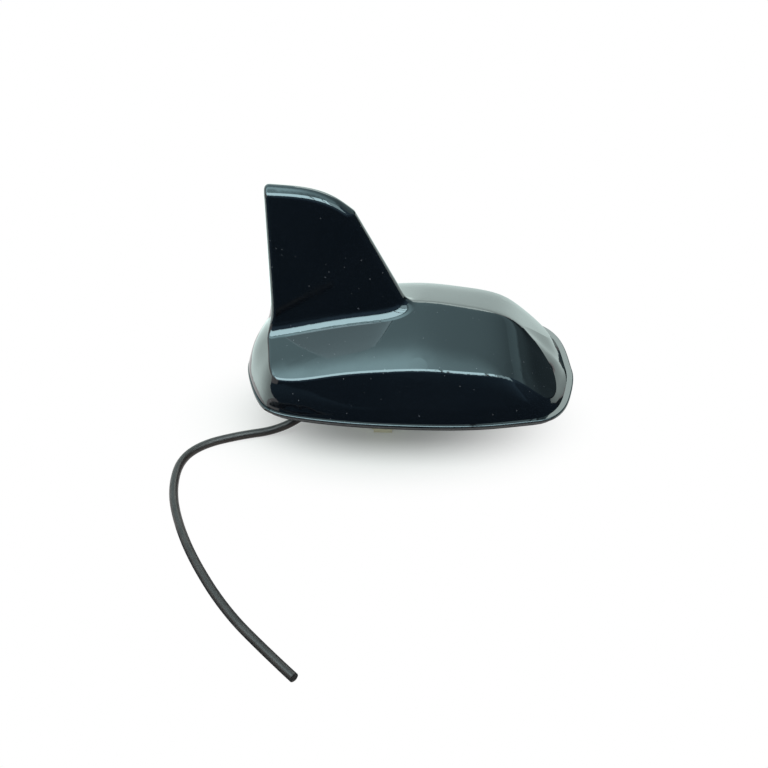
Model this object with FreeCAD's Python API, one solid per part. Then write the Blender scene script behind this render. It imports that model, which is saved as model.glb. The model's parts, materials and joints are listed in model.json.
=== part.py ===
"""Fin-shaped roof antenna for satellite positioning, with its mounting stud and cut-off coaxial lead.

The origin is on the stud's axis at its lower end, where it stands on a table. +X points to the nose and +Z
up, in millimetres. The shapes are drawn from the roof's surface and lifted by the stud's length at the end.
"""
import FreeCAD, Part
import math
import os
from FreeCAD import Vector

# Cover: the painted outer shell
cover_length = 112.8
cover_width = 68.0
tail_reach = 47.4            # from the stud's axis back to the tail of the rim
widest_x = 12.0              # where the rim is widest
wall = 2.0
flank_lean = 0.27            # how fast the flank leans inwards, per mm of height
flank_bulge = 0.0040         # how much that grows, per mm of height
flank_height = 26.0          # above this the flank stands upright
tail_height = 20.0           # the tail bulges out below this
tail_curve = 2.0
tail_blend = 4.0
corner_height = 13.5         # the corners tighten up to this height above the rim
nose_lean = 0.98             # how fast the nose leans back, per mm of height
crease_radius = 1.6
lip_height = 1.3
lip_reach = 0.5
lip_radius = 0.4
shoulder_over = 10.2         # the shoulder's block reaches this far past the cover's side
shoulder_round = 0.3         # softness of the ridge along the middle
edge_start = 17.0            # from here out the shoulder falls away towards its crease
edge_fall = 0.006
foot_radius = 5.0            # concave blend where the fin grows out of the shoulder

# Fin
fin_height = 72.2            # top of the fin above the roof
tail_flare = 9.0             # from the tail of the rim forward to the fin's upright rear edge
fin_half = 5.6               # half thickness if it ran down to the roof
fin_draft = 0.03             # what the half thickness loses per mm of height
fin_wedge = 0.006            # how it grows per mm behind the leading edge
fin_nose_radius = 3.0
fin_length = 61.8            # from its rear edge to where the leading edge would meet the roof
fin_sweep = 0.52             # how far the leading edge leans back per mm of height
fin_chord = 56.4             # the sections run back about this far from the leading edge
fin_top_round = 1.2
fin_top_slope = 0.75
fin_top_radius = 2.2

# Seal and base
gasket_thick = 1.5
gasket_inset = 1.0           # the gasket's edge lies this far inside the cover's rim
gasket_channel = 0.6         # depth of the shallow channel that leaves two sealing lips
gasket_lip = 2.4
plate_thick = 3.0
plate_clearance = 0.3
seal_width = 1.6
seal_height = 1.5
seal_clearance = 0.1

# Stud
stud_diameter = 16.0
stud_flats = 12.8
stud_bore = 9.2
stud_length = 20.0           # below the roof
thread_bore = 10.2
thread_depth = 7.0
stud_clearance = 0.3
stud_chamfer = 1.0

# Cable
cable_diameter = 3.0
exit_depth = 9.0             # height of the cable's exit below the roof
cable_clearance = 0.1
grommet_diameter = 5.2
grommet_flange = 7.0
grommet_flange_thick = 1.2
grommet_inner = 0.6          # how far the grommet stands into the bore
lead_bend = 6.0
lead_shift = 1.5             # the lead runs down the bore a little in front of its axis
lead_on_board = 8.4
clamp_gap = 0.5              # between the clamp and the feed strap
clamp_foot = 1.5
clamp_thick = 0.6
cable_arc_share = 0.45       # share of the shorter run that an arc takes

# Boards
board_length = 42.0
board_side_gap = 17.0        # from the cover's widest place to the board's edge
board_thick = 1.2
board_rear_x = 10.0
board_gap = 2.5              # under the board
post_diameter = 5.0
post_inset = 3.5
patch_side = 25.0
patch_thick = 4.0
patch_front_gap = 6.5        # from the board's front edge
patch_pad_thick = 0.5
patch_pad_inset = 1.0
pin_diameter = 0.9
pin_head = 2.4
pin_head_thick = 0.4
can_length = 22.0
can_width = 20.0
can_height = 2.0
can_wall = 0.3
chip_gap = 3.0
amplifier_side = 3.0
amplifier_height = 0.9
filter_side = 3.8
filter_height = 1.3

# Fin radiator and its holder
radiator_thick = 1.0
radiator_rear_gap = 4.4      # from the fin's rear edge
radiator_toe_x = -3.0
radiator_top_gap = 6.5
radiator_lead_gap = 6.0
holder_front_x = -8.5
holder_rear_gap = 2.0
holder_half = 3.0
holder_height = 9.5
holder_flange = 2.0
holder_flange_half = 10.0
holder_clearance = 0.1
holder_screw_share = 0.25    # place of the first screw along the holder
strap_thick = 0.3
strap_width = 3.0
strap_offset = 3.0
strap_toe_gap = 1.0

# Retaining clip on the stud
clip_width = 6.5
clip_thick = 2.0
clip_band = 1.0
clip_band_height = 3.0
clip_lift = 0.6              # the clip's lowest point above the stud's end
clip_clearance = 0.1
clip_barb = 1.3
clip_barb_length = 3.2
clip_barb_depth = 3.0        # the barb's shoulder below the roof
clip_pad_height = 5.2

# Screws
cover_screw = 2.6
cover_screw_head = 5.0
cover_screw_length = 8.0
boss_diameter = 6.2
boss_inset = 8.0             # from the rim to the screw's axis
boss_tail_gap = 19.0
boss_nose_gap = 22.0
board_screw = 2.0
board_screw_head = 3.8
board_screw_head_height = 1.3
board_screw_length = 4.6
screw_clearance = 0.1

# How close an edge must lie to a plane or a skin to be picked
pick_near = 0.1
pick_exact = 1e-3

half_width = cover_width / 2
tail_x = -tail_reach
nose_x = cover_length - tail_reach
rim_z = gasket_thick
plate_top = gasket_thick + plate_thick
board_z = plate_top + board_gap
board_top = board_z + board_thick
board_front_x = board_rear_x + board_length
patch_x = board_front_x - patch_front_gap - patch_side / 2
fin_rear_x = tail_x + tail_flare
fin_lead_x = fin_rear_x + fin_length
radiator_rear_x = fin_rear_x + radiator_rear_gap
board_width = cover_width - 2 * board_side_gap
floor_z = -stud_length

# The outline from the widest place to the tail and to the nose, at the rim and higher up,
# as shares of its reach and of half the width
TAIL_LOW = [(0.404, 0.968), (0.640, 0.910), (0.790, 0.836), (0.856, 0.757), (0.897, 0.650), (0.960, 0.365),
            (1.0, 0.0)]
TAIL_HIGH = [(0.404, 0.968), (0.660, 0.938), (0.786, 0.902), (0.847, 0.858), (0.881, 0.780), (0.940, 0.470),
             (1.0, 0.0)]
NOSE_LOW = [(0.449, 0.962), (0.700, 0.887), (0.815, 0.832), (0.905, 0.690), (0.970, 0.415), (1.0, 0.0)]
NOSE_HIGH = [(0.449, 0.966), (0.700, 0.918), (0.830, 0.856), (0.920, 0.720), (0.975, 0.420), (1.0, 0.0)]

# The crown of the shoulder: share of the length from tail to nose, height above the roof, sideways slope
CROWN = [(-0.129, 16.0, 0.250), (0.083, 21.9, 0.290), (0.163, 23.8, 0.312), (0.243, 25.6, 0.311),
         (0.332, 27.25, 0.311), (0.420, 28.5, 0.314), (0.544, 29.3, 0.315), (0.668, 27.6, 0.300),
         (0.770, 24.8, 0.274), (0.815, 22.0, 0.255), (0.859, 17.9, 0.244), (0.892, 14.7, 0.246),
         (0.926, 11.6, 0.256), (0.952, 9.3, 0.268), (1.005, 4.6, 0.275), (1.059, -0.5, 0.275)]

# The fin's top line, as distance ahead of the fin's rear edge and drop below the fin's height
FIN_TOP = [(-23.6, -0.4), (2.4, 0.0), (11.4, 0.7), (18.4, 2.3), (23.8, 5.0),
           (28.9, 9.0), (36.4, 14.2), (48.4, 19.2), (62.4, 21.2)]

# Where the sections are drawn: shares of the shoulder's reach, of the fin's chord and of the heights
ARCH_SHARES = (-1, -0.75, -0.5, -0.32, -0.16, -0.075, -0.03, 0, 0.03, 0.075, 0.16, 0.32, 0.5, 0.75, 1)
FIN_STEPS = (0.0, 0.05, 0.11, 0.19, 0.29, 0.41, 0.56, 0.75, 1.02)
OUTLINE_LEVELS = 16
CROWN_SECTIONS = 20

# The free cable after its exit, down to the table and along it to the cut end
CABLE_ROUTE = [(-19.0, 0.0, 11.0), (-30.0, -5.2, 7.2), (-42.5, -12.0, 2.6), (-54.5, -16.6, 1.5),
               (-63.8, -22.2, 1.5), (-69.8, -31.8, 1.5), (-69.9, -46.5, 1.5), (-64.4, -63.2, 1.5),
               (-54.0, -83.2, 1.5), (-40.8, -102.0, 1.5), (-27.6, -115.8, 1.5), (-20.7, -122.8, 1.5)]


def cylinder(radius, bottom, top, x=0.0, y=0.0):
    return Part.makeCylinder(radius, top - bottom, Vector(x, y, bottom))


def box(x0, x1, y0, y1, z0, z1):
    return Part.makeBox(x1 - x0, y1 - y0, z1 - z0, Vector(x0, y0, z0))


def spline(points):
    curve = Part.BSplineCurve()
    curve.interpolate(points)
    return curve.toShape()


def flank_inset(z):
    height = min(z - rim_z, flank_height)
    return flank_lean * height + flank_bulge * height * abs(height)


def tail_inset(z):
    """The tail bulges out below the fin's upright rear edge."""
    rise = max(0.0, (z - rim_z) / tail_height) ** tail_curve
    return tail_flare * rise / (1 + rise ** tail_blend) ** (1 / tail_blend)


def outline_shares(low, high, z):
    """An end's outline, whose corners go from round at the rim to tight higher up."""
    rise = min(1.0, max(0.0, (z - rim_z) / corner_height))
    tight = rise * rise * (3 - 2 * rise)
    return [(u + (p - u) * tight, v + (q - v) * tight) for (u, v), (p, q) in zip(low, high)]


def rim_outline(z, inside=0.0):
    """The cover's outline at a height, drawn in by a distance."""
    half = half_width - flank_inset(z) - inside
    nose = nose_x - widest_x - nose_lean * min(z - rim_z, flank_height) - inside
    tail = widest_x - tail_x - tail_inset(z) - inside
    tail_end = outline_shares(TAIL_LOW, TAIL_HIGH, z)
    nose_end = outline_shares(NOSE_LOW, NOSE_HIGH, z)
    side = [Vector(widest_x + nose * u, half * v, z) for u, v in reversed(nose_end)]
    side.append(Vector(widest_x, half, z))
    side += [Vector(widest_x - tail * u, half * v, z) for u, v in tail_end]
    other = [Vector(p.x, -p.y, z) for p in side[-2:0:-1]]
    curve = Part.BSplineCurve()
    curve.interpolate(side + other, PeriodicFlag=True)
    return Part.Wire(curve.toShape())


def slab(outline, height):
    return Part.Face(outline).extrude(Vector(0, 0, height))


def arched_block(crown, roundness, reach, bottom):
    """A block under an arched top, whose section is a soft ridge with straight shoulders."""

    def section(x, z, slope):
        def point(share):
            y = share * reach
            fall = edge_fall * max(0.0, abs(y) - edge_start) ** 2
            return Vector(x, y, z - math.hypot(roundness, slope * y) + roundness - fall)

        left, right = point(-1), point(1)
        low_left, low_right = Vector(x, -reach, bottom), Vector(x, reach, bottom)
        edges = [spline([point(share) for share in ARCH_SHARES])]
        for start, end in ((right, low_right), (low_right, low_left), (low_left, left)):
            edges.append(Part.LineSegment(start, end).toShape())
        return Part.Wire(edges)

    return Part.makeLoft([section(*place) for place in crown], True, False)


def fin_blade(inside):
    """The fin before its top is cut: a rounded leading edge and sides that draw in upwards."""

    def section(z):
        lead_x = fin_lead_x - fin_sweep * z - inside * math.hypot(1, fin_sweep)
        half = fin_half - fin_draft * z - inside
        radius = fin_nose_radius - inside / 2

        def point(step, side):
            back = step ** 2 * fin_chord
            width = half * (1 + fin_wedge * back) * math.sqrt(math.tanh(2 * radius * back / half ** 2))
            return Vector(lead_x - back, side * width, z)

        points = [point(step, -1) for step in reversed(FIN_STEPS)]
        points += [point(step, 1) for step in FIN_STEPS[1:]]
        return Part.Wire([spline(points), Part.LineSegment(points[-1], points[0]).toShape()])

    return Part.makeLoft([section(z) for z in (rim_z, fin_height + foot_radius)], True, True)


def edges_on(shape, first, second, shortest):
    """The edges of a shape, from a length up, whose middle lies on the skins of two others."""
    found = []
    for edge in shape.Edges:
        if edge.Length < shortest:
            continue
        middle = Part.Vertex(edge.valueAt((edge.FirstParameter + edge.LastParameter) / 2))
        if all(skin.Shells[0].distToShape(middle)[0] < pick_exact for skin in (first, second)):
            found.append(edge)
    return found


def cover_form(inside=0.0):
    """The solid form of the cover, or of the hollow in it when drawn in by the wall."""
    step = (fin_height + foot_radius - rim_z) / OUTLINE_LEVELS
    levels = [rim_z + count * step for count in range(OUTLINE_LEVELS + 1)]
    if inside:
        levels[0] = rim_z - lip_height
    surround = Part.makeLoft([rim_outline(z, inside) for z in levels], True, False)
    ridge = spline([Vector(tail_x + share * cover_length, slope, z - inside) for share, z, slope in CROWN])
    crown = [(p.x, p.z, p.y) for p in ridge.discretize(CROWN_SECTIONS)]
    shoulder = arched_block(crown, shoulder_round, half_width + shoulder_over, -half_width)
    top_line = [(fin_rear_x + ahead, fin_height - drop - inside, fin_top_slope) for ahead, drop in FIN_TOP]
    top = arched_block(top_line, fin_top_round, fin_half * 2, -fin_half)
    blade = fin_blade(inside)
    fin = blade.common(top).Solids[0]
    if not inside:
        rims = edges_on(fin, blade, top, cover_width)
        fin = fin.makeFillet(fin_top_radius, [e for e in rims if e.BoundBox.ZMin > plate_top])
    upper = shoulder.fuse(fin)
    if not inside:
        upper = upper.makeFillet(foot_radius, edges_on(upper, shoulder, fin, cover_width))
    form = upper.common(surround).Solids[0]
    if not inside:
        form = form.makeFillet(crease_radius, edges_on(form, surround, upper, 0))
    return form


def boss_places():
    """The cover's screws: a pair near the tail, a pair at the widest place and a pair near the nose."""
    rear_x, front_x = tail_x + boss_tail_gap, nose_x - boss_nose_gap
    rear_y = half_width * TAIL_LOW[1][1] - boss_inset
    front_y = half_width * NOSE_LOW[1][1] - boss_inset
    middle_y = half_width - boss_inset
    pairs = ((rear_x, rear_y), (widest_x, middle_y), (front_x, front_y))
    return [(x, side * y) for x, y in pairs for side in (-1, 1)]


def outer_cover():
    form = cover_form()
    hollow = cover_form(wall)
    lip = slab(rim_outline(rim_z, -lip_reach), lip_height)
    lip = lip.makeFillet(lip_radius, [e for e in lip.Edges if e.BoundBox.ZLength < pick_exact])
    seat = slab(plate_outline(-plate_clearance), -plate_top)
    shell = form.fuse(lip).cut([hollow, seat])
    bosses = [cylinder(boss_diameter / 2, plate_top, flank_height, x, y) for x, y in boss_places()]
    shell = shell.fuse([boss.common(form) for boss in bosses])
    pilot = cover_screw / 2 + screw_clearance
    depth = plate_top + cover_screw_length - plate_thick + pilot
    return shell.cut([cylinder(pilot, 0, depth, x, y) for x, y in boss_places()]).Solids[0]


def plate_outline(inside):
    return rim_outline(plate_top, wall + plate_clearance + inside)


def base_plate():
    plate = slab(plate_outline(0), -plate_thick)
    rebate = slab(plate_outline(0), -seal_height).cut(slab(plate_outline(seal_width), -seal_height))
    plate = plate.cut(rebate)
    for x, y in post_places():
        plate = plate.fuse(cylinder(post_diameter / 2, gasket_thick, board_z, x, y))
    cuts = [cylinder(stud_diameter / 2, gasket_thick, plate_top)]
    drill = board_screw / 2 + screw_clearance
    depth = board_screw_length + screw_clearance
    for x, y in post_places():
        cuts.append(cylinder(drill, board_top - depth, board_z, x, y))
    for x, y in holder_screw_places():
        cuts.append(cylinder(drill, plate_top + holder_flange - depth, plate_top, x, y))
    for x, y in boss_places():
        cuts.append(cylinder(cover_screw / 2 + screw_clearance, 0, plate_top, x, y))
        cuts.append(screw_cone(x, y, screw_clearance))
    return plate.cut(cuts).Solids[0]


def mounting_stud():
    """The hollow stud, pressed into the plate, with two flats and the cable's way out at its rear."""
    stud = cylinder(stud_diameter / 2, floor_z, plate_top)
    stud = stud.makeChamfer(stud_chamfer, [e for e in stud.Edges if e.BoundBox.ZMax < floor_z + pick_near])
    reach = stud_diameter
    for side in (-1, 1):
        inner, outer = sorted((side * stud_flats / 2, side * reach))
        stud = stud.cut(box(-reach, reach, inner, outer, floor_z, 0))
    bore = cylinder(stud_bore / 2, floor_z, plate_top)
    thread = cylinder(thread_bore / 2, floor_z, floor_z + thread_depth)
    way_out = Part.makeCylinder(grommet_diameter / 2, reach, Vector(0, 0, -exit_depth), Vector(-1, 0, 0))
    return stud.cut([bore, thread, way_out]).Solids[0]


def screw_cone(x, y, grow):
    """The countersunk head of a cover screw, flush with the plate's underside."""
    head, shank = cover_screw_head / 2 + grow, cover_screw / 2 + grow
    return Part.makeCone(head, shank, head - shank, Vector(x, y, gasket_thick))


def roof_gasket():
    pad = slab(rim_outline(rim_z, gasket_inset), -gasket_thick)
    ring = slab(rim_outline(rim_z, gasket_inset + gasket_lip), -gasket_thick)
    ring = ring.cut(cylinder(stud_diameter / 2 + gasket_lip, 0, gasket_thick))
    ring = ring.common(slab(rim_outline(rim_z, 0), -gasket_thick)).Solids[0]
    channel = ring.common(box(tail_x, nose_x, -half_width, half_width, 0, gasket_channel))
    pad = pad.cut(channel)
    return pad.cut(cylinder(stud_diameter / 2 + stud_clearance, 0, gasket_thick)).Solids[0]


def cover_seal():
    outer = slab(plate_outline(0), -seal_height)
    return outer.cut(slab(plate_outline(seal_width - seal_clearance), -seal_height)).Solids[0]


def cover_screws():
    tip = gasket_thick + cover_screw_length
    screws = []
    for x, y in boss_places():
        shank = cylinder(cover_screw / 2, gasket_thick, tip, x, y)
        screws.append(shank.fuse(screw_cone(x, y, 0)).removeSplitter())
    return Part.makeCompound(screws)


def post_places():
    xs = (board_rear_x + post_inset, board_front_x - post_inset)
    y = board_width / 2 - post_inset
    return [(x, side * y) for x in xs for side in (-1, 1)]


def pan_screw(x, y, seat):
    shank = cylinder(board_screw / 2, seat - board_screw_length, seat, x, y)
    head = cylinder(board_screw_head / 2, seat, seat + board_screw_head_height, x, y)
    rims = [e for e in head.Edges if e.BoundBox.ZMin > seat + pick_near]
    head = head.makeFillet(board_screw_head_height / 2, rims)
    return shank.fuse(head).removeSplitter()


def circuit_board():
    half = board_width / 2
    board = box(board_rear_x, board_front_x, -half, half, board_z, board_top)
    corners = [e for e in board.Edges if e.BoundBox.ZLength > board_thick / 2]
    board = board.makeFillet(post_inset / 2, corners)
    drill = board_screw / 2 + screw_clearance
    holes = [cylinder(drill, board_z, board_top, x, y) for x, y in post_places()]
    holes.append(cylinder(pin_diameter / 2 + screw_clearance, board_z, board_top, patch_x, 0))
    return board.cut(holes)


def board_screws():
    return Part.makeCompound([pan_screw(x, y, board_top) for x, y in post_places()])


def patch_pad():
    half = patch_side / 2 - patch_pad_inset
    pad = box(patch_x - half, patch_x + half, -half, half, board_top, board_top + patch_pad_thick)
    return pad.cut(cylinder(pin_head / 2, board_top, board_top + patch_pad_thick, patch_x, 0))


def patch_ceramic():
    half = patch_side / 2
    bottom = board_top + patch_pad_thick
    block = box(patch_x - half, patch_x + half, -half, half, bottom, bottom + patch_thick)
    corners = [e for e in block.Edges if e.BoundBox.ZLength > patch_thick / 2]
    block = block.makeChamfer(pin_diameter, corners)
    return block.cut(cylinder(pin_diameter / 2 + screw_clearance, bottom, bottom + patch_thick, patch_x, 0))


def patch_pin():
    top = board_top + patch_pad_thick + patch_thick
    shank = cylinder(pin_diameter / 2, board_z - can_wall, top, patch_x, 0)
    return shank.fuse(cylinder(pin_head / 2, top, top + pin_head_thick, patch_x, 0)).removeSplitter()


def shield_can():
    half_length, half = can_length / 2, can_width / 2
    can = box(patch_x - half_length, patch_x + half_length, -half, half, board_z - can_height, board_z)
    can = can.makeFillet(can_wall * 2, [e for e in can.Edges if e.BoundBox.ZLength > can_height / 2])
    inner_length, inner = half_length - can_wall, half - can_wall
    hollow = box(patch_x - inner_length, patch_x + inner_length, -inner, inner,
                 board_z - can_height + can_wall, board_z)
    return can.cut(hollow)


def chip(x, y, side, height):
    return box(x - side / 2, x + side / 2, y - side / 2, y + side / 2, board_z - height, board_z)


def amplifier_chip():
    return chip(patch_x - chip_gap * 2, chip_gap, amplifier_side, amplifier_height)


def filter_chip():
    return chip(patch_x - chip_gap * 2, -chip_gap, filter_side, filter_height)


def holder_rear_x():
    return radiator_rear_x - holder_rear_gap


def holder_screw_places():
    gap = (holder_front_x - holder_rear_x()) * holder_screw_share
    y = (holder_half + holder_flange_half) / 2
    return [(holder_rear_x() + gap, y), (holder_front_x - gap, -y)]


def fin_radiator():
    bottom, top = plate_top + holder_flange, fin_height - radiator_top_gap

    def lead_x(z):
        return fin_lead_x - fin_sweep * z - radiator_lead_gap

    shin = board_top + strap_width
    knee = (fin_lead_x - radiator_lead_gap - radiator_toe_x) / fin_sweep
    points = [Vector(radiator_rear_x, 0, bottom), Vector(radiator_rear_x, 0, top),
              Vector(lead_x(top), 0, top), Vector(radiator_toe_x, 0, max(knee, shin)),
              Vector(radiator_toe_x, 0, bottom)]
    sheet = Part.Face(Part.makePolygon(points + points[:1])).extrude(Vector(0, radiator_thick, 0))
    sheet.translate(Vector(0, -radiator_thick / 2, 0))
    corners = [e for e in sheet.Edges if e.BoundBox.YLength > radiator_thick / 2 and e.BoundBox.ZMin > shin]
    return sheet.makeFillet(strap_width, corners)


def radiator_holder():
    rear, front = holder_rear_x(), holder_front_x
    flange = box(rear, front, -holder_flange_half, holder_flange_half, plate_top, plate_top + holder_flange)
    corners = [e for e in flange.Edges if e.BoundBox.ZLength > holder_flange / 2]
    flange = flange.makeFillet(holder_flange, corners)
    top = plate_top + holder_height
    channel = box(rear, front, -holder_half, holder_half, plate_top, top)
    rims = [e for e in channel.Edges if e.BoundBox.ZMin > top - pick_near]
    rims = [e for e in rims if e.BoundBox.XLength > holder_half * 2]
    channel = channel.makeChamfer(holder_half / 3, rims)
    slot_half = radiator_thick / 2 + holder_clearance
    slot = box(radiator_rear_x - holder_clearance, front, -slot_half, slot_half,
               plate_top + holder_flange, top)
    holes = [cylinder(board_screw / 2 + screw_clearance, plate_top, plate_top + holder_flange, x, y)
             for x, y in holder_screw_places()]
    return flange.fuse(channel).cut([slot] + holes).removeSplitter()


def holder_screws():
    return Part.makeCompound([pan_screw(x, y, plate_top + holder_flange) for x, y in holder_screw_places()])


def feed_strap():
    """A flat strap from the side of the radiator's toe to a pad on the board."""
    side, inner = radiator_thick / 2, strap_offset
    outer = inner + strap_width
    front = board_rear_x + strap_width
    rear = radiator_toe_x - strap_width - strap_toe_gap
    points = [Vector(rear, side, board_top), Vector(rear + strap_width, side, board_top),
              Vector(rear + strap_width, inner, board_top), Vector(front, inner, board_top),
              Vector(front, outer, board_top), Vector(rear, outer, board_top)]
    strap = Part.Face(Part.makePolygon(points + points[:1])).extrude(Vector(0, 0, strap_thick))
    tab = box(rear, rear + strap_width, side, side + strap_thick, board_top, board_top + strap_width)
    return strap.fuse(tab).removeSplitter()


def tube(path, diameter, start, direction):
    ring = Part.Wire(Part.makeCircle(diameter / 2, start, direction))
    return path.makePipeShell([ring], True, False)


def lead_axis():
    """The inner lead: along the board, down the stud's bore and out through its rear wall."""
    z_top = board_top + cable_diameter / 2
    start = Vector(board_rear_x + lead_on_board, 0, z_top)
    down = lead_shift
    diagonal = lead_bend * (1 - math.sqrt(0.5))
    bend_in = Vector(down + lead_bend, 0, z_top)
    bend_end = Vector(down, 0, z_top - lead_bend)
    middle_in = Vector(down + diagonal, 0, z_top - diagonal)
    turn = Vector(down, 0, -exit_depth + lead_bend)
    out = Vector(down - lead_bend, 0, -exit_depth)
    middle_out = Vector(down - diagonal, 0, -exit_depth + diagonal)
    end = Vector(exit_x(), 0, -exit_depth)
    edges = [Part.LineSegment(start, bend_in).toShape(), Part.Arc(bend_in, middle_in, bend_end).toShape(),
             Part.LineSegment(bend_end, turn).toShape(), Part.Arc(turn, middle_out, out).toShape(),
             Part.LineSegment(out, end).toShape()]
    return Part.Wire(edges), start


def exit_x():
    """Where the cable leaves the grommet's flange."""
    return -(stud_diameter / 2 + grommet_flange_thick)


def gps_lead():
    path, start = lead_axis()
    return tube(path, cable_diameter, start, Vector(-1, 0, 0))


def lead_clamp():
    """A bent saddle that holds the lead down on the board."""
    radius, thick = cable_diameter / 2 + cable_clearance, clamp_thick
    rear = board_rear_x + strap_width + clamp_gap
    z = board_top + cable_diameter / 2
    width = strap_width
    axis, start = Vector(1, 0, 0), Vector(rear, 0, z)
    bow = Part.makeCylinder(radius + thick, width, start, axis)
    legs = box(rear, rear + width, -radius - thick, radius + thick, board_top, z)
    feet = box(rear, rear + width, -radius - clamp_foot, radius + clamp_foot, board_top, board_top + thick)
    solid = bow.common(box(rear, rear + width, -radius - thick, radius + thick, z, z + radius + thick))
    solid = solid.fuse([legs, feet])
    inner = Part.makeCylinder(radius, width, start, axis)
    room = box(rear, rear + width, -radius, radius, board_top, z)
    return solid.cut([inner, room]).removeSplitter()


def cable_grommet():
    inner_x = grommet_inner - stud_bore / 2
    axis = Vector(-1, 0, 0)
    bush = Part.makeCylinder(grommet_diameter / 2 - cable_clearance, inner_x - exit_x(),
                             Vector(inner_x, 0, -exit_depth), axis)
    seat = Vector(-stud_diameter / 2, 0, -exit_depth)
    flange = Part.makeCylinder(grommet_flange / 2, grommet_flange_thick, seat, axis)
    rims = [e for e in flange.Edges if e.BoundBox.XMax < exit_x() + pick_near]
    flange = flange.makeFillet(grommet_flange_thick / 2, rims)
    hole = Part.makeCylinder(cable_diameter / 2 + cable_clearance, stud_diameter,
                             Vector(0, 0, -exit_depth), axis)
    return bush.fuse(flange).cut(hole).removeSplitter()


def cable_points():
    return [Vector(exit_x(), 0, -exit_depth)] + [Vector(x, y, floor_z + z) for x, y, z in CABLE_ROUTE]


def gps_cable():
    """The free cable as straight runs joined by tangent arcs."""
    points = cable_points()
    edges, last, radii = [], points[0], []
    for before, at, after in zip(points, points[1:], points[2:]):
        back, ahead = before - at, after - at
        run = cable_arc_share * min(back.Length, ahead.Length)
        turn = math.pi - back.getAngle(ahead)
        radii.append(run / math.tan(turn / 2))
        back.normalize()
        ahead.normalize()
        enter, leave = at + back * run, at + ahead * run
        inward = back + ahead
        inward.normalize()
        middle = at + inward * (radii[-1] / math.cos(turn / 2) - radii[-1])
        edges += [Part.LineSegment(last, enter).toShape(), Part.Arc(enter, middle, leave).toShape()]
        last = leave
    edges.append(Part.LineSegment(last, points[-1]).toShape())
    path = Part.Wire(edges)
    solid = tube(path, cable_diameter, points[0], points[1] - points[0])
    share = solid.Volume / (math.pi / 4 * cable_diameter ** 2 * path.Length)
    print("cable length %.1f, volume share %.4f" % (path.Length, share))
    print("cable radii", [round(r, 1) for r in radii])
    return solid


def retaining_clip():
    """A nylon clip on the stud: a band round its lower end and two barbed legs beside its flats."""
    inner = stud_diameter / 2 + clip_clearance
    bottom = floor_z + clip_lift
    band_top = bottom + clip_band_height
    band = cylinder(inner + clip_band, bottom, band_top).cut(cylinder(inner, bottom, band_top))
    solid = band
    flat = stud_flats / 2 + clip_clearance
    outer = inner + clip_thick
    half = clip_width / 2
    shoulder = -clip_barb_depth
    for side in (-1, 1):
        profile = [(flat, bottom), (outer, bottom), (outer, bottom + clip_pad_height),
                   (flat + clip_thick, bottom + clip_pad_height + clip_thick),
                   (flat + clip_thick, shoulder - clip_barb_length),
                   (flat + clip_thick + clip_barb, shoulder - clip_barb),
                   (flat + clip_thick, shoulder), (flat, shoulder)]
        points = [Vector(-half, side * y, z) for y, z in profile]
        leg = Part.Face(Part.makePolygon(points + points[:1])).extrude(Vector(clip_width, 0, 0))
        solid = solid.fuse(leg)
    return solid.removeSplitter()


NODES = [outer_cover, base_plate, mounting_stud, roof_gasket, cover_seal, cover_screws,
         circuit_board, board_screws, patch_pad, patch_ceramic, patch_pin, shield_can,
         amplifier_chip, filter_chip, fin_radiator, radiator_holder, holder_screws, feed_strap,
         gps_lead, lead_clamp, cable_grommet, gps_cable, retaining_clip]

os.makedirs("parts", exist_ok=True)
for node in NODES:
    shape = node()
    if not shape.isValid() or shape.Volume <= 0:
        print("check", node.__name__, shape.isValid(), shape.Volume)
    shape.translate(Vector(0, 0, stud_length))
    shape.exportStep("parts/%s.step" % node.__name__)
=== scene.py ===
"""Looks of the fin-shaped roof antenna: materials, the free cable, light and camera.

Places are in millimetres, and the frame's metres are reached through MM. The glossy cover shows mostly what it
mirrors, so the stage holds glowing cards that appear in reflections alone: painted reflections, highlights and
shade.
"""
import json
import math

import bpy
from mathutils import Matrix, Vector


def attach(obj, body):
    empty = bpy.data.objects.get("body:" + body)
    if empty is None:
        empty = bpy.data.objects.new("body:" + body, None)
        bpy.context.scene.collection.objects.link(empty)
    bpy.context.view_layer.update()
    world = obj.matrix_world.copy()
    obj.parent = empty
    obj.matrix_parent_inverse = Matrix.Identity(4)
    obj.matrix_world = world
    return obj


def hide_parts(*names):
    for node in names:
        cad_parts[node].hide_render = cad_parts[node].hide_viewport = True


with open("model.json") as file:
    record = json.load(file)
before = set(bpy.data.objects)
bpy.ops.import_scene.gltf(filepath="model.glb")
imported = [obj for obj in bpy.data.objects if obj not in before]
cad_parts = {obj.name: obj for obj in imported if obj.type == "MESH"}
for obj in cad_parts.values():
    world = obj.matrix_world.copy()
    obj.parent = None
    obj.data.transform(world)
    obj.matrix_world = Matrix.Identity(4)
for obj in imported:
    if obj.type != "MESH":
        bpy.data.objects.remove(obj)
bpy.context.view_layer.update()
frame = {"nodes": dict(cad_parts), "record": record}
scene = bpy.context.scene
scene.view_settings.view_transform = "Standard"

MM = 0.001

# Camera at the photograph's viewing angle
CAMERA_PLACE = (12.8, -345.2, 265.6)
CAMERA_TARGET = (0, 0, 14.6)
CAMERA_LENS = 56.25
SENSOR_WIDTH = 36.0

# Free cable, from the stud's rear wall down to the table and along it to its cut end
CABLE = [(-9.2, 0.0, 11.0), (-18.5, 0.0, 11.0), (-28.0, -10.0, 7.0), (-38.0, -12.2, 2.1),
         (-50.0, -14.6, 1.5), (-62.5, -20.0, 1.5), (-69.0, -28.6, 1.5), (-69.4, -42.0, 1.5),
         (-66.0, -56.5, 1.5), (-57.5, -76.0, 1.5), (-43.5, -98.5, 1.5), (-28.0, -115.4, 1.5),
         (-20.7, -122.8, 1.5)]
CABLE_DIAMETER = 3.0

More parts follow.
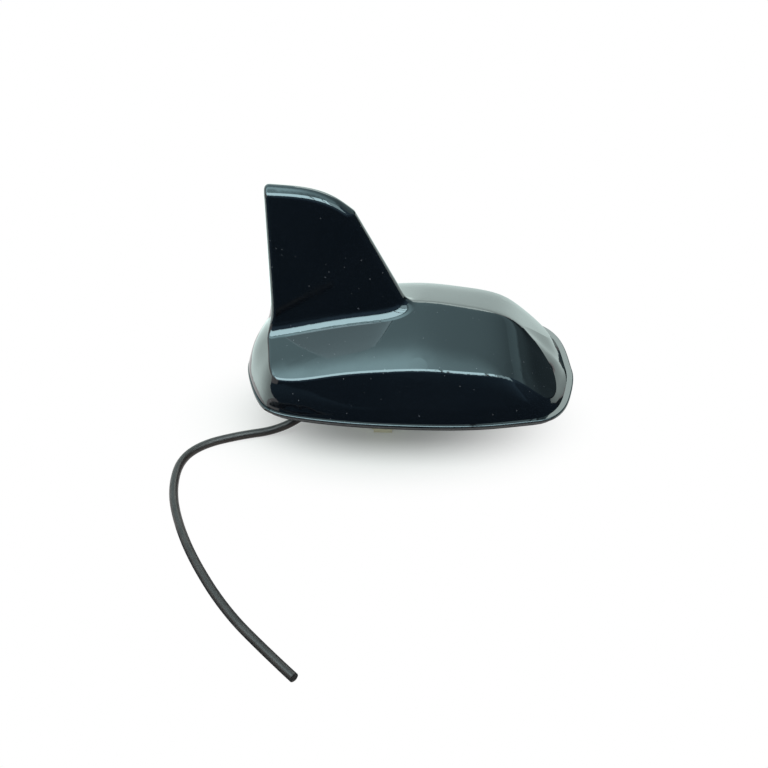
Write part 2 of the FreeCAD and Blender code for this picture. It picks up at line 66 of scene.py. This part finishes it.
# Moulded, cast and plated finishes: two tones, range of roughness, metallic, grain per metre and relief
PLAIN_FINISHES = {
    "cast_alloy": ((0.38, 0.39, 0.40), (0.50, 0.51, 0.52), (0.38, 0.55), 1.0, 700, 0.03),
    "rubber": ((0.018, 0.018, 0.018), (0.030, 0.030, 0.030), (0.65, 0.85), 0.0, 1100, 0.02),
    "steel": ((0.50, 0.50, 0.49), (0.62, 0.62, 0.61), (0.22, 0.38), 1.0),
    "board": ((0.010, 0.075, 0.030), (0.016, 0.110, 0.045), (0.28, 0.42)),
    "ceramic": ((0.48, 0.43, 0.35), (0.58, 0.53, 0.45), (0.5, 0.7)),
    "brass": ((0.62, 0.47, 0.20), (0.74, 0.58, 0.28), (0.22, 0.36), 1.0),
    "dark_plastic": ((0.020, 0.020, 0.021), (0.034, 0.034, 0.035), (0.42, 0.6)),
    "ivory_nylon": ((0.66, 0.64, 0.46), (0.76, 0.74, 0.56), (0.35, 0.5)),
}

# Colours of the lacquer, the cable's jacket and the floor, darker and lighter
PAINT = ((0.0018, 0.0027, 0.0045), (0.0028, 0.0040, 0.0062))
DUST = (0.11, 0.12, 0.13)
SCRATCH = (0.06, 0.07, 0.08)
JACKET = ((0.020, 0.018, 0.017), (0.036, 0.033, 0.031))
JACKET_SHEEN = (1.0, 0.84, 0.80)
FLOOR = ((0.87, 0.98, 0.93), (0.89, 0.99, 0.95))

# Colours of the glowing cards that paint what the cover mirrors
SKY = (0.60, 0.93, 1.0)
STRIP = (0.65, 0.93, 1.0)
TABLE = (0.83, 1.0, 0.97)
SHADE = (0.40, 0.72, 1.0)

FLOOR_HALF = 4000
FLOOR_STRETCH = 1.7          # the shadow is this much longer than it is deep
LAMP_PLACE = (0, -420, 700)
LAMP_TARGET = (0, 0, 40)
LAMP_SIZE = (1200, 400)
LAMP_BRIGHTNESS = 2.8
AMBIENT = 0.5                # the surroundings' light on the object, where 1 is white
# Glowing strip cards that paint the lamp's highlights in reflections: left, right and level of each
STRIPS = ((-900, 150, 1.0), (172, 330, 1.0), (352, 450, 1.0), (480, 900, 0.4))   # left, right, level


def point(x, y, z):
    return Vector((x, y, z)) * MM


def aim(thing, place, target):
    """Put a camera or a lamp at a place and turn it to a target."""
    thing.location = point(*place)
    thing.rotation_euler = (point(*target) - thing.location).to_track_quat("-Z", "Y").to_euler()


def cable():
    """The free cable as one smooth curve of round section."""
    curve = bpy.data.curves.new("cable", "CURVE")
    curve.dimensions = "3D"
    curve.resolution_u = 16
    curve.bevel_depth = 1.0
    curve.bevel_resolution = 6
    curve.use_fill_caps = True
    line = curve.splines.new("NURBS")
    line.points.add(len(CABLE) - 1)
    for knot, place in zip(line.points, CABLE):
        knot.co = (*point(*place), 1.0)
        knot.radius = CABLE_DIAMETER / 2 * MM
    line.order_u = 3
    line.use_endpoint_u = True
    piece = bpy.data.objects.new("free_cable", curve)
    scene.collection.objects.link(piece)
    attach(piece, "root")
    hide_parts("gps_cable")
    return piece


class Look:
    """A node material with a few helpers."""

    def __init__(self, name, roughness, metallic=0.0):
        self.material = bpy.data.materials.new(name)
        self.material.use_nodes = True
        self.tree = self.material.node_tree
        self.nodes = self.tree.nodes
        self.links = self.tree.links
        self.shader = self.nodes["Principled BSDF"]
        self.set("Roughness", roughness)
        self.set("Metallic", metallic)
        self.coords = self.nodes.new("ShaderNodeTexCoord").outputs["Object"]

    def set(self, name, value):
        """Set one of the shader's own values."""
        self.shader.inputs[name].default_value = value

    def noise(self, scale, detail):
        noise = self.nodes.new("ShaderNodeTexNoise")
        noise.inputs["Scale"].default_value = scale
        noise.inputs["Detail"].default_value = detail
        self.links.new(self.coords, noise.inputs["Vector"])
        return noise.outputs["Fac"]

    def specks(self, scale, size, length=1.0, turn=(0, 0, 0)):
        """Scattered spots or short marks, each reaching a share of its cell from the cell's centre."""
        mapping = self.nodes.new("ShaderNodeMapping")
        mapping.vector_type = "TEXTURE"
        mapping.inputs["Rotation"].default_value = turn
        mapping.inputs["Scale"].default_value = (length, 1, 1)
        self.links.new(self.coords, mapping.inputs["Vector"])
        cells = self.nodes.new("ShaderNodeTexVoronoi")
        cells.inputs["Scale"].default_value = scale
        self.links.new(mapping.outputs["Vector"], cells.inputs["Vector"])
        return self.ramp(cells.outputs["Distance"], size * 0.5, size, 1.0, 0.0)

    def ramp(self, value, low, high, start, end):
        """Grey levels or colours between two places of a value."""
        ramp = self.nodes.new("ShaderNodeValToRGB")
        for element, place, colour in zip(ramp.color_ramp.elements, (low, high), (start, end)):
            element.position = place
            element.color = (*colour, 1.0) if isinstance(colour, tuple) else (colour, colour, colour, 1.0)
        self.links.new(value, ramp.inputs["Fac"])
        return ramp.outputs["Color"]

    def mix(self, factor, first, second):
        """One colour over another, each a socket or a plain colour."""
        mix = self.nodes.new("ShaderNodeMix")
        mix.data_type = "RGBA"
        self.links.new(factor, mix.inputs[0])
        for socket, value in ((mix.inputs[6], first), (mix.inputs[7], second)):
            if isinstance(value, tuple):
                socket.default_value = (*value, 1.0)
            else:
                self.links.new(value, socket)
        return mix.outputs[2]

    def math(self, operation, *values):
        """A sum or product of sockets and plain numbers."""
        node = self.nodes.new("ShaderNodeMath")
        node.operation = operation
        for socket, value in zip(node.inputs, values):
            if isinstance(value, (int, float)):
                socket.default_value = value
            else:
                self.links.new(value, socket)
        return node.outputs["Value"]

    def sum(self, first, second):
        return self.math("ADD", first, second)

    def product(self, first, second):
        return self.math("MULTIPLY", first, second)

    def along(self, axis):
        """One of the object's coordinates, in metres."""
        split = self.nodes.new("ShaderNodeSeparateXYZ")
        self.links.new(self.coords, split.inputs["Vector"])
        return split.outputs[axis]

    def distance(self, depth):
        """The distance from the upright axis through the origin, with Y counted depth times."""
        x, y = self.along("X"), self.product(self.along("Y"), depth)
        return self.math("SQRT", self.sum(self.product(x, x), self.product(y, y)))

    def fade(self, value, low, high, start, end):
        """A number that goes softly from start to end between two places of a length, in millimetres."""
        node = self.nodes.new("ShaderNodeMapRange")
        node.interpolation_type = "SMOOTHSTEP"
        for name, number in (("From Min", low * MM), ("From Max", high * MM),
                             ("To Min", start), ("To Max", end)):
            node.inputs[name].default_value = number
        self.links.new(value, node.inputs["Value"])
        return node.outputs["Result"]

    def colour(self, value):
        self.links.new(value, self.shader.inputs["Base Color"])

    def rough(self, value):
        self.links.new(value, self.shader.inputs["Roughness"])

    def bump(self, value, height, strength):
        bump = self.nodes.new("ShaderNodeBump")
        bump.inputs["Strength"].default_value = strength
        bump.inputs["Distance"].default_value = height * MM
        self.links.new(value, bump.inputs["Height"])
        self.links.new(bump.outputs["Normal"], self.shader.inputs["Normal"])


def plain_look(name, dark, light, rough, metallic=0.0, grain=900, relief=0.02):
    """A moulded, cast or plated surface: two tones, uneven gloss and a fine grain."""
    look = Look(name, rough[0], metallic)
    look.colour(look.ramp(look.noise(60, 4), 0.3, 0.7, dark, light))
    look.rough(look.ramp(look.noise(140, 3), 0.3, 0.7, rough[0], rough[1]))
    look.bump(look.noise(grain, 2), relief, 0.4)
    return look


def cover_look():
    """Gloss blue-black lacquer with specks of dust and short scratches."""
    look = Look("black_paint", 0.05)
    tone = look.ramp(look.noise(35, 2), 0.3, 0.7, *PAINT)
    dust = look.specks(330, 0.07)
    scratch = look.specks(190, 0.05, 7.0, (0.5, 0.6, 0.7))
    look.colour(look.mix(scratch, look.mix(dust, tone, DUST), SCRATCH))
    look.rough(look.ramp(look.noise(90, 4), 0.35, 0.75, 0.03, 0.09))
    return look


def cable_look():
    """Satin extruded jacket."""
    look = Look("cable_jacket", 0.4)
    look.set("Specular IOR Level", 0.24)
    look.set("Specular Tint", (*JACKET_SHEEN, 1.0))
    look.colour(look.ramp(look.noise(220, 4), 0.3, 0.75, *JACKET))
    look.rough(look.ramp(look.noise(400, 3), 0.3, 0.7, 0.28, 0.42))
    look.bump(look.noise(1400, 2), 0.006, 0.4)
    return look


def stage_mesh(name, corners):
    """A flat sheet of the stage."""
    mesh = bpy.data.meshes.new(name)
    mesh.from_pydata([point(*corner) for corner in corners], [], [tuple(range(len(corners)))])
    thing = bpy.data.objects.new(name, mesh)
    scene.collection.objects.link(thing)
    return thing


def shown_rays(tree):
    """1 for what the camera sees, directly or in gloss and glass, and 0 for light on other surfaces."""
    path = tree.nodes.new("ShaderNodeLightPath")
    shown = path.outputs["Is Camera Ray"]
    for name in ("Is Glossy Ray", "Is Transmission Ray"):
        larger = tree.nodes.new("ShaderNodeMath")
        larger.operation = "MAXIMUM"
        tree.links.new(shown, larger.inputs[0])
        tree.links.new(path.outputs[name], larger.inputs[1])
        shown = larger.outputs["Value"]
    return shown


def floor():
    """A pale floor that glows white to the camera and in reflections away from the object; near it the glow is
    weaker, so the shadow stays, lightened by painted light.
    """
    thing = stage_mesh("floor", [(-FLOOR_HALF, -FLOOR_HALF, 0), (FLOOR_HALF, -FLOOR_HALF, 0),
                                 (FLOOR_HALF, FLOOR_HALF, 0), (-FLOOR_HALF, FLOOR_HALF, 0)])
    look = Look("floor", 0.6)
    look.colour(look.ramp(look.noise(3, 2), 0.3, 0.7, *FLOOR))
    look.set("Specular IOR Level", 0.0)
    white = look.nodes.new("ShaderNodeEmission")
    blend = look.nodes.new("ShaderNodeMixShader")
    # Share of the white glow, small near the object: painted light that lightens the shadow there
    share = look.fade(look.distance(FLOOR_STRETCH), 15, 80, 0.12, 1.0)
    look.links.new(look.product(shown_rays(look.tree), share), blend.inputs[0])
    look.links.new(look.shader.outputs["BSDF"], blend.inputs[1])
    look.links.new(white.outputs["Emission"], blend.inputs[2])
    look.links.new(blend.outputs["Shader"], look.nodes["Material Output"].inputs["Surface"])
    thing.data.materials.append(look.material)


def card(name, corners, colour, glow):
    """A glowing card that only reflections show, a painted reflection; glow gives its brightness from place to
    place.
    """
    thing = stage_mesh(name, corners)
    thing.visible_camera = False
    thing.visible_diffuse = False
    thing.visible_shadow = False
    thing.visible_transmission = False
    look = Look(name, 1.0)
    look.set("Base Color", (0, 0, 0, 1))
    look.set("Specular IOR Level", 0.0)
    look.set("Emission Color", (*colour, 1.0))
    look.links.new(glow(look), look.shader.inputs["Emission Strength"])
    thing.data.materials.append(look.material)


def fading(axis, low, high, start, end):
    """A card's brightness that fades along one axis."""
    return lambda look: look.fade(look.along(axis), low, high, start, end)


def ceiling_glow(look):
    """Painted ceiling reflection: brightest overhead, brighter to the left than to the right, and dim next to
    the strips.
    """
    overhead = look.product(look.fade(look.along("Y"), 140, 380, 4.2, 0.0),
                            look.fade(look.along("X"), -100, 220, 1.0, 0.4))
    even = look.fade(look.along("X"), -450, 1300, 2.3, 0.8)
    return look.product(look.sum(overhead, even), look.fade(look.along("Y"), -20, 120, 0.55, 1.0))


def corner_glow(look):
    """Painted reflection of a room corner: dark low down, with a step up to the ceiling's level."""
    return look.sum(look.fade(look.along("Z"), 250, 450, 0.09, 0.4),
                    look.fade(look.along("Z"), 500, 600, 0.0, 0.6))


def lamp():
    """The main softbox, in front above, left out of reflections; the glowing strip cards paint its highlights
    instead.
    """
    light = bpy.data.lights.new("lamp", "AREA")
    light.shape = "RECTANGLE"
    light.size, light.size_y = LAMP_SIZE[0] * MM, LAMP_SIZE[1] * MM
    light.energy = LAMP_BRIGHTNESS * math.pi * light.size * light.size_y
    thing = bpy.data.objects.new("lamp", light)
    scene.collection.objects.link(thing)
    aim(thing, LAMP_PLACE, LAMP_TARGET)
    thing.visible_camera = False
    thing.visible_glossy = False


def surroundings():
    """White for what the camera sees and what gloss and glass show, softer light for the rest."""
    world = bpy.data.worlds.new("surroundings")
    scene.world = world
    world.use_nodes = True
    tree = world.node_tree
    background = tree.nodes["Background"]
    strength = tree.nodes.new("ShaderNodeMapRange")
    strength.inputs["To Min"].default_value = AMBIENT
    strength.inputs["To Max"].default_value = 1.0
    tree.links.new(shown_rays(tree), strength.inputs["Value"])
    background.inputs["Color"].default_value = (1.0, 1.0, 1.0, 1.0)
    tree.links.new(strength.outputs["Result"], background.inputs["Strength"])


# Camera
camera = bpy.data.objects.new("camera", bpy.data.cameras.new("camera"))
scene.collection.objects.link(camera)
camera.data.sensor_width = SENSOR_WIDTH
camera.data.lens = CAMERA_LENS
camera.data.clip_start = 0.01
aim(camera, CAMERA_PLACE, CAMERA_TARGET)
scene.camera = camera

# Materials of the solids and the cable
looks = {slot: plain_look(slot, *finish) for slot, finish in PLAIN_FINISHES.items()}
looks["black_paint"] = cover_look()
looks["cable_jacket"] = cable_look()
cable().data.materials.append(looks["cable_jacket"].material)
for part in frame["record"]["subparts"]:
    node = frame["nodes"][part["node"]]
    node.data.materials.clear()
    node.data.materials.append(looks[part["material_slot"]].material)

# Stage: floor, light and glowing cards that paint what the cover mirrors
floor()
# Bright cards seen only in reflections: painted reflections of the ceiling, a room corner, the wall behind,
# the table and a window
card("ceiling_card", [(-2000, -330, 1000), (1300, -330, 1000), (1300, 1600, 1000), (-2000, 1600, 1000)], SKY,
     ceiling_glow)
card("corner_card", [(1535, 505, 40), (765, 1425, 40), (765, 1425, 1050), (1535, 505, 1050)], SKY, corner_glow)
card("back_card", [(-2000, 1600, 20), (760, 1600, 20), (760, 1600, 1000), (-2000, 1600, 1000)], TABLE,
     fading("Z", 0, 950, 1.5, 2.2))
card("table_card", [(-2500, -60, 0.5), (-78, -60, 0.5), (-78, 70, 0.5), (85, 70, 0.5), (85, -30, 0.5),
                    (2500, -30, 0.5), (2500, 3000, 0.5), (-2500, 3000, 0.5)], TABLE,
     fading("X", -150, 50, 2.3, 1.4))
# Dim cards in front and to the right, seen only in reflections: painted shade on the flank and the fin
card("near_card", [(-900, -900, 0.5), (-900, -62, 0.5), (900, -62, 0.5), (900, -900, 0.5)], SHADE,
     fading("X", -150, -20, 0.28, 0.10))
card("front_card", [(-900, -900, 0), (900, -900, 0), (900, -900, 900), (-900, -900, 900)], SHADE,
     fading("Z", 80, 450, 0.13, 0.65))
card("right_card", [(900, -900, 0), (900, 320, 0), (900, 320, 900), (900, -900, 900)], SHADE,
     fading("Z", 150, 800, 0.13, 0.65))
card("window_card", [(422, 795, 420), (-31, 900, 420), (-31, 900, 900), (422, 795, 900)], TABLE,
     fading("Z", 420, 500, 1.0, 5.0))
# Painted highlights: bright strips seen only in reflections, standing in for the lamp
for left, right, level in STRIPS:
    card("strip_card", [(left, -589, 593), (right, -589, 593), (right, -57, 931), (left, -57, 931)], STRIP,
         fading("Z", 600, 650, 9.0 * level, 14.0 * level))
lamp()
surroundings()
